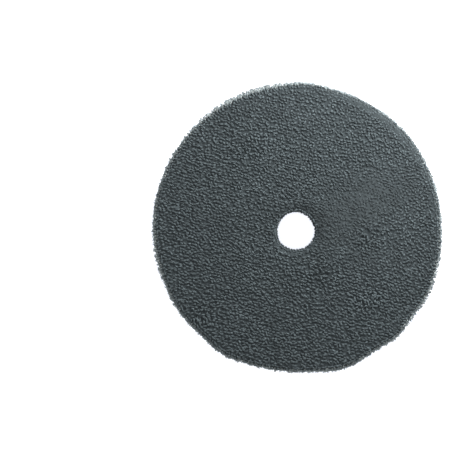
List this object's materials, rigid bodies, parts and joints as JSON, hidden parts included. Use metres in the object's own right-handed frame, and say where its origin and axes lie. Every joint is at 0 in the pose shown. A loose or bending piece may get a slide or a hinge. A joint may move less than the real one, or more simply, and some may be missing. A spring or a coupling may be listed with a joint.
{
  "type": "polishing pad",
  "caption": "Round polishing pad with a microfibre loop face on a tapered foam core, a hook-and-loop backing and a centre hole.",
  "frame": {"origin": "centre of the loop backing's outer face, on the pad's axis", "axes": "+Z along the pad's axis from the backing to the microfibre face; X and Y are any two radial directions"},
  "size_m": [0.16, 0.16, 0.0282],
  "materials": {
    "loop_backing": "black brushed loop nap, dull",
    "adhesive_film": "thin hot-melt film",
    "blue_foam": "fine open-cell polyurethane foam, matt",
    "white_cloth": "white knitted ground cloth, cut edge",
    "grey_pile": "short grey microfibre loop pile"
  },
  "bodies": {
    "plate_side": {"loop_backing": "loop_backing", "backing_adhesive": "adhesive_film", "foam_core": "blue_foam"},
    "paint_side": {"face_adhesive": "adhesive_film", "ground_cloth": "white_cloth", "microfibre_pile": "grey_pile"}
  },
  "joints": [
    {"name": "foam_press", "type": "slide", "parent": "plate_side", "child": "paint_side", "axis": [0, 0, -1], "range_m": [0, 0.005], "stiffness_N_per_m": 12000, "deforming": ["foam_core"]}
  ]
}
